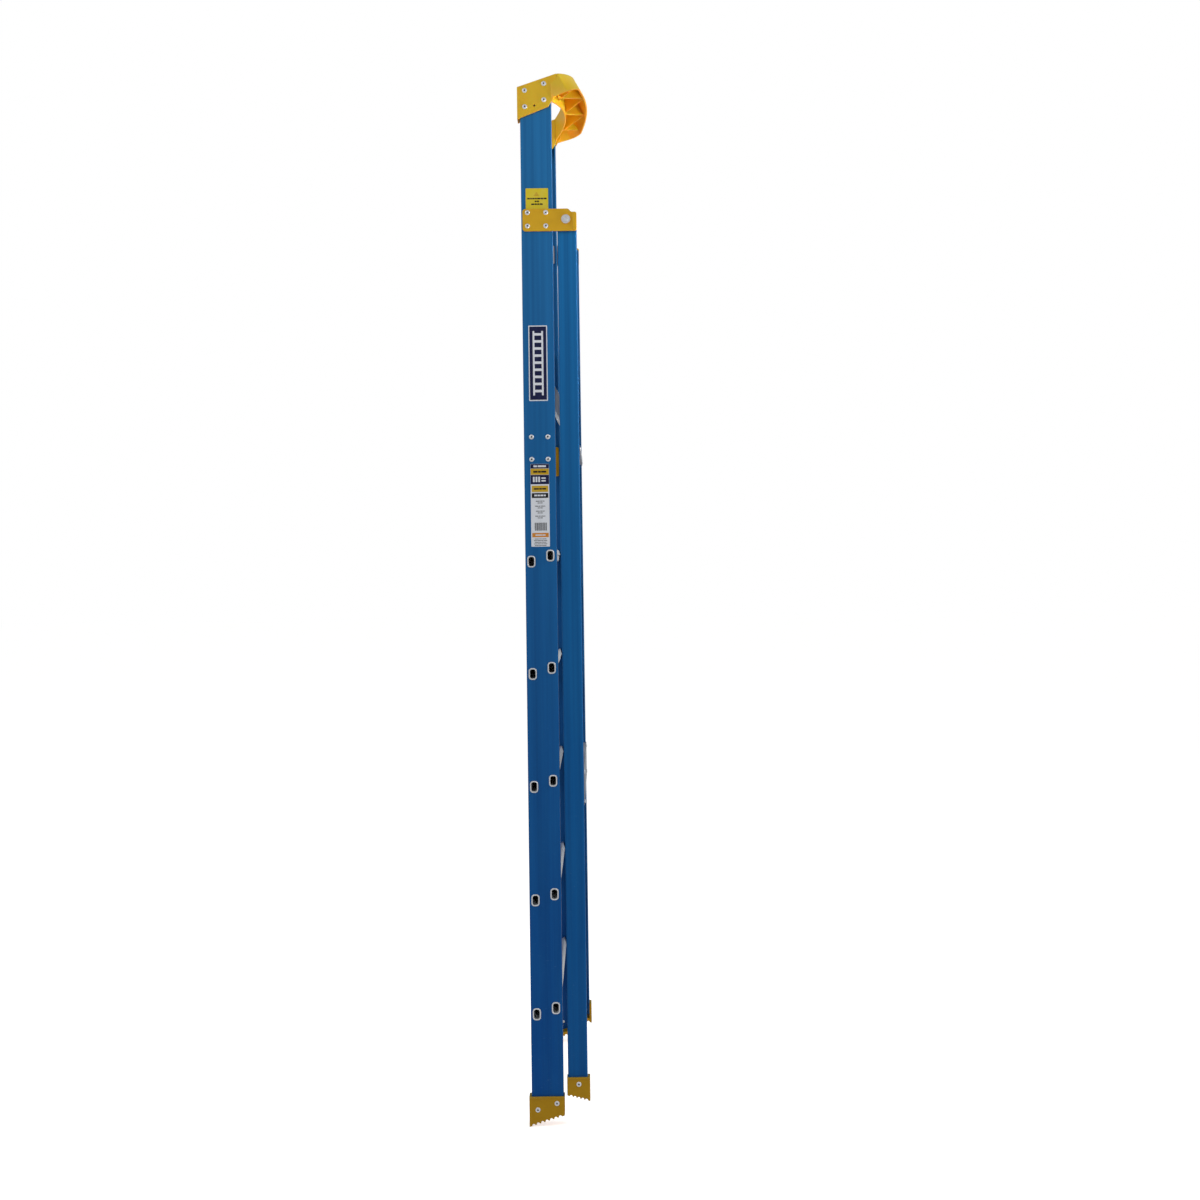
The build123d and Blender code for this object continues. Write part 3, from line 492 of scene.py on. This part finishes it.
dress(rubber(), "platform_nosing")

# %% [markdown]
# ## Rolled rims of the tread tubes
# Each tread has two tubes that pass through the stile, and their ends are rolled over outside like
# eyelets.  A torus pulled apart in the middle is exactly that long, round-edged ring, so one is
# modelled and copied to every tube end.  Treads are level only when the ladder is open and its stiles
# lean, so on an upright stile the front tube of each tread is lower than its rear one.

# %% Rolled rims
FIRST_TREAD = 323.4 * MM
STEP_RISE = 313.7 * MM
FRONT_LEAN = math.radians(17)
TUBE_FRONT = 16.9 * MM
TUBE_REAR = 70.1 * MM
TUBE_DROP = math.tan(FRONT_LEAN) * (TUBE_REAR - TUBE_FRONT)
RIM_CORNER = 7.4 * MM
RIM_HALF = (9.3 * MM, 14.3 * MM)
RIM_ROUND = 1.35 * MM
RIM_LIFT = 1.3 * MM


def make_rim():
    bpy.ops.mesh.primitive_torus_add(major_segments=40, minor_segments=12,
                                     major_radius=RIM_CORNER, minor_radius=RIM_ROUND)
    rim = bpy.context.object
    alone(rim)
    # The half on each side of the middle is pushed outwards, first along x and then along y.
    for axis, side in ((0, 1), (0, -1), (1, 1), (1, -1)):
        pick_faces(rim, lambda face: False)
        bpy.ops.object.mode_set(mode="OBJECT")
        for vertex in rim.data.vertices:
            vertex.select = side * vertex.co[axis] > 1e-5
        bpy.ops.object.mode_set(mode="EDIT")
        bpy.ops.mesh.select_mode(type="VERT")
        shift = [0, 0, 0]
        shift[axis] = side * (RIM_HALF[axis] - RIM_CORNER)
        bpy.ops.transform.translate(value=shift)
    bpy.ops.object.mode_set(mode="OBJECT")
    return rim


rim_places = []
for number in range(TREAD_COUNT):
    height = FIRST_TREAD + number * STEP_RISE
    for tube_x, tube_z in ((TUBE_FRONT, height - TUBE_DROP), (TUBE_REAR, height)):
        spot = Matrix.Translation((tube_x, along(tube_z), RIM_LIFT))
        rim_places += [face_matrix(side) @ spot for side in (RIGHT, LEFT)]
rims = copies(make_rim(), rim_places, "tread_rims")
finish_piece(rims, rim_pale, "front_frame")

# %% [markdown]
# ## Blind rivets
# A blind rivet has a low domed head with a small dark hole, where its mandrel snapped off, and a
# squashed bulb on the other side.  A flat cylinder is the start.  Its top is inset and lifted step by
# step into the dome and then the hole.  Its underside is inset to the shank, pulled down through the
# sheets it holds, and widened to the bulb.

# %% Rivet
HEAD_R = 6.9 * MM
HEAD_EDGE = 0.8 * MM
# How far the top is inset and lifted at each step, in millimetres.
DOME_STEPS = ((0.8, 1.0), (1.3, 0.6), (2.2, 0.15), (0.3, -0.5), (0.15, -1.1))
# Faces closer to the middle than HOLE_R and lower than HOLE_TOP belong to the hole.
HOLE_R = 2.5 * MM
HOLE_TOP = 1.9 * MM
SHANK_INSET = 4.35 * MM
BULB_FLARE = 0.4
BULB_GROWTH = 1.75
BULB_LENGTH = 1.4
BULB_ROUND = (1.4, 0.5)


def pull(lift):
    """Extrude the selected faces by lift millimetres along Z."""
    bpy.ops.mesh.extrude_region_move(TRANSFORM_OT_translate={"value": (0, 0, lift * MM)})


def make_rivet(grip):
    """A rivet whose head rests on the plane z = 0 and whose shank is grip millimetres long."""
    bpy.ops.mesh.primitive_cylinder_add(vertices=28, radius=HEAD_R, depth=HEAD_EDGE,
                                        location=(0, 0, HEAD_EDGE / 2))
    rivet = bpy.context.object
    alone(rivet)
    pick_faces(rivet, lambda face: face.normal.z > 0.9)
    for inward, lift in DOME_STEPS:
        bpy.ops.mesh.inset(thickness=inward * MM)
        bpy.ops.transform.translate(value=(0, 0, lift * MM))
    pick_faces(rivet, lambda face: face.normal.z < -0.9)
    bpy.ops.mesh.inset(thickness=SHANK_INSET)
    pull(-grip)
    pull(-BULB_FLARE)
    bpy.ops.transform.resize(value=(BULB_GROWTH, BULB_GROWTH, 1))
    pull(-BULB_LENGTH)
    bpy.ops.mesh.inset(thickness=BULB_ROUND[0] * MM)
    bpy.ops.transform.translate(value=(0, 0, -BULB_ROUND[1] * MM))
    bpy.ops.object.mode_set(mode="OBJECT")
    rivet.data.materials.append(rivet_zinc)
    rivet.data.materials.append(mandrel_steel)
    for face in rivet.data.polygons:
        near_middle = math.hypot(face.center.x, face.center.y) < HOLE_R
        face.material_index = int(near_middle and 0 < face.center.z < HOLE_TOP)
    return rivet


print("rivet pattern ready")

# %% [markdown]
# Each set of rivets holds one fitting and rides on that fitting's body.  A set is given by its places
# on the stile's face, by how far its heads stand proud of that face, and by the length of its shanks.
# The new sets take the place of the plain CAD rivets.  Only the rivets of the rear bars keep their CAD
# shape and get nothing but a finish.

# %% Rivet sets
def side_places(spots, proud):
    """Matrices for rivets on both sides, at depth and height in millimetres."""
    return [face_matrix(side) @ Matrix.Translation((x * MM, along(z * MM), proud * MM))
            for x, z in spots for side in (RIGHT, LEFT)]


RIVET_GROUPS = {
    "hinge_rivets": ([(17.5, 2544.3), (69.2, 2544.3), (17.5, 2506.4), (69.2, 2506.4)],
                     3.5, 10.0, "front_frame"),
    "platform_rivets": ([(21.3, 1911.5), (67.3, 1911.5), (21.3, 1848.6), (67.3, 1848.6)],
                        0.0, 7.5, "front_frame"),
    "handrail_rivets": ([(13.8, 2891.3), (68.0, 2910.3), (68.0, 2864.3), (13.8, 2845.1)],
                        5.0, 8.5, "front_frame"),
    "front_foot_rivets": ([(17.0, 46.1), (69.8, 63.2)], 4.5, 8.0, "front_frame"),
    "rear_foot_rivets": ([(131.0, 113.5)], 0.5, 7.5, "rear_frame"),
}
for group, (spots, proud, grip, body) in RIVET_GROUPS.items():
    heads = copies(make_rivet(grip), side_places(spots, proud), group.replace("rivets", "rivet_set"))
    finish_piece(heads, None, body)
    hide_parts(group)
dress(rivet_zinc, "rear_bar_rivets")

# %% [markdown]
# ## Printed labels
# Three labels are stuck to the right stile.  The print is made as very thin raised patches of ink on
# the plain CAD labels, so it stays crisp at any distance and needs no picture.  Every name, word and
# code is replaced by plain marks: a ladder symbol, bars and dashes that mean nothing.

# %% Ink
def ink(name, color, faded):
    finish = Finish(name)
    fade = finish.noise(finish.stretched((60, 60, 25)), 1.0, 5, 0.6)
    scratch = finish.noise(finish.stretched((500, 500, 90)), 1.0, 4, 0.7)
    tone = finish.mix(finish.spread(fade, 0.45, 0.8, 0.0, 0.6), color, faded)
    tone = finish.mix(finish.spread(scratch, 0.68, 0.76, 0.0, 0.35), tone, rgb(205, 205, 198))
    normal, edge = finish.soft_edges(0.3 * MM)
    tone = finish.mix(finish.math("MULTIPLY", edge, 0.15), tone, faded)
    rough = finish.spread(fade, 0.3, 0.7, 0.28, 0.5)
    return finish.close(tone, rough, scratch, 0.02 * MM, normal, Specular_IOR_Level=0.3)


ink_white = ink("ink_white", rgb(240, 244, 252), rgb(222, 227, 236))
ink_navy = ink("ink_navy", rgb(14, 22, 68), rgb(34, 44, 92))
ink_black = ink("ink_black", rgb(20, 20, 24), rgb(52, 52, 56))
ink_gold = ink("ink_gold", rgb(214, 172, 36), rgb(222, 190, 92))
ink_orange = ink("ink_orange", rgb(220, 138, 44), rgb(226, 164, 92))
film_yellow = ink("film_yellow", rgb(232, 208, 44), rgb(228, 212, 96))
dress(film_yellow, "notice_label")
dress(ink_white, "name_label", "rating_label")

# %% [markdown]
# One helper lays rectangles of ink on a label.  Each one starts as a plane, is raised by its own
# thickness, and is stood up on the stile with all the others of the same ink.

# %% Ink patches
LABEL_T = 0.4
INK_T = 0.08


def print_ink(name, inks, rectangles, layer=0):
    """Rectangles are (front, rear, low, high) in millimetres on the stile's face."""
    lift = (LABEL_T + layer * INK_T) * MM
    made = []
    for front, rear, low, high in rectangles:
        centre = ((front + rear) / 2 * MM, along((low + high) / 2 * MM), lift)
        bpy.ops.mesh.primitive_plane_add(size=1, location=centre)
        patch = bpy.context.object
        patch.scale = ((rear - front) * MM, (high - low) * MM, 1)
        made.append(patch)
    alone(*made)
    bpy.ops.object.join()
    sheet = bpy.context.object
    sheet.name = name
    sheet.data.name = name
    bpy.ops.object.transform_apply(location=True, rotation=True, scale=True)
    bpy.ops.object.mode_set(mode="EDIT")
    bpy.ops.mesh.select_all(action="SELECT")
    bpy.ops.mesh.extrude_region_move(TRANSFORM_OT_translate={"value": (0, 0, INK_T * MM)})
    bpy.ops.mesh.select_all(action="SELECT")
    bpy.ops.mesh.normals_make_consistent(inside=False)
    bpy.ops.object.mode_set(mode="OBJECT")
    place(sheet, face_matrix(RIGHT))
    finish_piece(sheet, inks, "front_frame")


def dashes(front, rear, height, thick, lengths, gap=1.2):
    """A centred row of dashes, standing for a line of print."""
    start = (front + rear) / 2 - (sum(lengths) + gap * (len(lengths) - 1)) / 2
    row = []
    for length in lengths:
        row.append((start, start + length, height - thick / 2, height + thick / 2))
        start += length + gap
    return row


print("ink helpers ready")

# %% [markdown]
# The tall name label gets a ladder symbol in white on navy: two rails and a row of rungs.  It fills
# the room of the big vertical word, so the label keeps its weight on the stile.

# %% Name label
print_ink("name_label_field", ink_navy, [(19.0, 66.3, 2015.6, 2222.6)])
symbol = [(28.0, 33.0, 2028.0, 2210.0), (52.5, 57.5, 2028.0, 2210.0)]
symbol += [(33.0, 52.5, 2037.0 + 20.0 * rung, 2044.0 + 20.0 * rung) for rung in range(9)]
print_ink("name_label_symbol", ink_white, symbol, 1)

# %% [markdown]
# The yellow notice near the top carries a small triangular sign, stacked from shortening bars, and
# three centred rows of dashes that stand for its lines of print.

# %% Notice label
notice = dashes(13, 77, 2585.0, 4.2, (7, 5, 6, 5, 9, 7, 8))
notice += dashes(13, 77, 2577.0, 4.2, (5, 6))
notice += dashes(13, 77, 2569.0, 4.2, (9, 6, 5, 9))
print_ink("notice_label_lines", ink_black, notice)
sign = [(44.0 - wide, 44.0 + wide, 2592.0 + step * 2.0, 2593.6 + step * 2.0)
        for step, wide in enumerate((8.0, 6.6, 5.2, 3.8, 2.4, 1.0))]
print_ink("notice_label_sign", ink_gold, sign)

# %% [markdown]
# The rating label is a stack of bands: navy and gold at the top, a white field with short lines, a
# block of upright bars and an orange band near the bottom.

# %% Rating label
print_ink("rating_label_navy", ink_navy,
          [(17.9, 69.1, 1822.6, 1835.0), (17.9, 69.1, 1778.5, 1804.6)])
print_ink("rating_label_gold", ink_gold,
          [(17.9, 69.1, 1805.2, 1822.0), (20.5, 66.5, 1756.7, 1774.5)])
print_ink("rating_label_blocks", ink_white,
          [(26.0, 36.0, 1826.4, 1831.4), (38.0, 61.0, 1826.4, 1831.4),
           (24.0, 29.0, 1784.5, 1799.5), (31.5, 36.5, 1784.5, 1799.5), (39.0, 44.0, 1784.5, 1799.5),
           (48.0, 60.0, 1793.5, 1797.5), (48.0, 60.0, 1786.0, 1790.0)], 1)
print_ink("rating_label_black", ink_black, [(20.5, 66.5, 1740.0, 1753.8)])
print_ink("rating_label_code", ink_white, dashes(20, 67, 1747.0, 4.6, (9, 6, 8, 6)), 1)
fine_print = dashes(20, 67, 1813.5, 5.0, (12, 8, 14))
fine_print += dashes(20, 67, 1765.5, 4.2, (14, 7, 11))
for row in range(4):
    low = 1731.0 - 14.0 * row
    fine_print += dashes(20, 67, low, 1.8, (9, 5, 8, 3) if row % 2 else (11, 7, 4))
    fine_print += dashes(20, 67, low - 5.0, 1.8, (6, 7))
bar = 28.0
for count in range(16):
    width = 1.6 if count % 3 == 0 else 0.9
    fine_print.append((bar, bar + width, 1648.5, 1670.6))
    bar += width + (1.3 if count % 4 == 1 else 0.85)
for row in range(5):
    fine_print += dashes(20, 67, 1625.0 - 4.6 * row, 1.5, (8, 10, 6, 9) if row % 2 else (11, 7, 12))
print_ink("rating_label_print", ink_black, fine_print, 1)
print_ink("rating_label_orange", ink_orange, [(20.5, 66.5, 1630.0, 1642.0)])
print_ink("rating_label_mark", ink_white, dashes(20, 67, 1636.0, 3.4, (18, 9)), 1)

# %% [markdown]
# ## Floor, light and camera
# The ladder stands on a plain pale floor, like a sweep of paper in a studio.  A little emission lifts
# the floor to white.  Only the camera sees it, so it throws no extra light on the ladder.

# %% Floor
FLOOR_GLOW = 0.68
bpy.ops.mesh.primitive_plane_add(size=60, location=(0, 10, 0))
floor = bpy.context.object
floor.name = "floor"
paper = Finish("floor_paper")
mottle = paper.noise(paper.stretched((2, 2, 2)), 1.0, 3)
paper_tone = paper.mix(paper.spread(mottle, 0.3, 0.7), rgb(247, 247, 246), rgb(250, 250, 249))
paper.join(paper_tone, paper.shader.inputs["Base Color"])
paper.shader.inputs["Roughness"].default_value = 0.9
paper.shader.inputs["Emission Color"].default_value = (1.0, 1.0, 1.0, 1.0)
seen_floor = paper.add("ShaderNodeLightPath")
paper_glow = paper.math("MULTIPLY", seen_floor.outputs["Is Camera Ray"], FLOOR_GLOW)
paper.join(paper_glow, paper.shader.inputs["Emission Strength"])
floor.data.materials.append(paper.material)
print("floor laid")

# %% [markdown]
# A dim even sky fills the shadows.  The backdrop has to look as white as paper, but a sky that bright
# would wash out every colour, so the Light Path node shows the white one to the camera alone.

# %% Even sky
SKY_LIGHT = 0.34
world = bpy.data.worlds.new("even_sky")
bpy.context.scene.world = world
world.use_nodes = True
sky_tree = world.node_tree
sky = sky_tree.nodes["Background"]
sky.inputs["Color"].default_value = (1.0, 1.0, 1.0, 1.0)
sky.inputs["Strength"].default_value = SKY_LIGHT
paper_white = sky_tree.nodes.new("ShaderNodeBackground")
paper_white.inputs["Color"].default_value = (1.0, 1.0, 1.0, 1.0)
seen = sky_tree.nodes.new("ShaderNodeLightPath")
either = sky_tree.nodes.new("ShaderNodeMixShader")
sky_tree.links.new(seen.outputs["Is Camera Ray"], either.inputs[0])
sky_tree.links.new(sky.outputs[0], either.inputs[1])
sky_tree.links.new(paper_white.outputs[0], either.inputs[2])
sky_tree.links.new(either.outputs[0], sky_tree.nodes["World Output"].inputs["Surface"])
print("sky strength", SKY_LIGHT)

# %% [markdown]
# Three lamps shape the ladder.  A broad one high in front lights the near side, more so towards the
# top.  One behind draws a bright line down the rear corners.  A weak, narrow one low behind reaches up
# under the handrail, where the ribs would otherwise be lost in shadow.

# %% Lamps
def lamp(name, place_at, aim_at, power, size, spread=180):
    """A round lamp at place_at, turned to aim_at, with its spread in degrees."""
    data = bpy.data.lights.new(name, "AREA")
    data.energy = power
    data.shape = "DISK"
    data.size = size
    data.spread = math.radians(spread)
    light = bpy.data.objects.new(name, data)
    bpy.context.collection.objects.link(light)
    light.location = place_at
    light.rotation_euler = (Vector(aim_at) - Vector(place_at)).to_track_quat("-Z", "Y").to_euler()


lamp("front_lamp", (-2.4, -2.8, 4.4), (0, 0, 2.3), 46, 2.0)
lamp("rear_lamp", (2.8, -0.3, 3.0), (0.05, 0, 1.6), 60, 1.2)
lamp("under_lamp", (2.0, -0.6, 0.9), (0.0, 0, 2.88), 1.5, 0.7, 30)
bpy.context.scene.view_settings.view_transform = "Standard"
print("lights set")

# %% [markdown]
# The camera stands 4.3 m to the right of the ladder at about eye height, tipped down a little and turned
# a touch about its own line of sight.  Its three axes are worked out from those two small angles.

# %% Camera
PITCH = 0.0227
ROLL = 0.0136
CAMERA_PLACE = (0.11685, -4.3, 1.5432)
LENS = 43.07
look = Vector((0, math.cos(PITCH), -math.sin(PITCH)))
upwards = Vector((0, math.sin(PITCH), math.cos(PITCH)))
rightwards = Vector((1, 0, 0))
cam_up = upwards * math.cos(ROLL) + rightwards * math.sin(ROLL)
cam_right = rightwards * math.cos(ROLL) - upwards * math.sin(ROLL)
camera_data = bpy.data.cameras.new("camera")
camera_data.sensor_width = 36.0
camera_data.lens = LENS
camera = bpy.data.objects.new("camera", camera_data)
bpy.context.collection.objects.link(camera)
camera_axes = Matrix((cam_right, cam_up, -look)).transposed().to_4x4()
camera.matrix_world = Matrix.Translation(CAMERA_PLACE) @ camera_axes
bpy.context.scene.camera = camera
print("camera at", [round(value, 3) for value in camera.location])
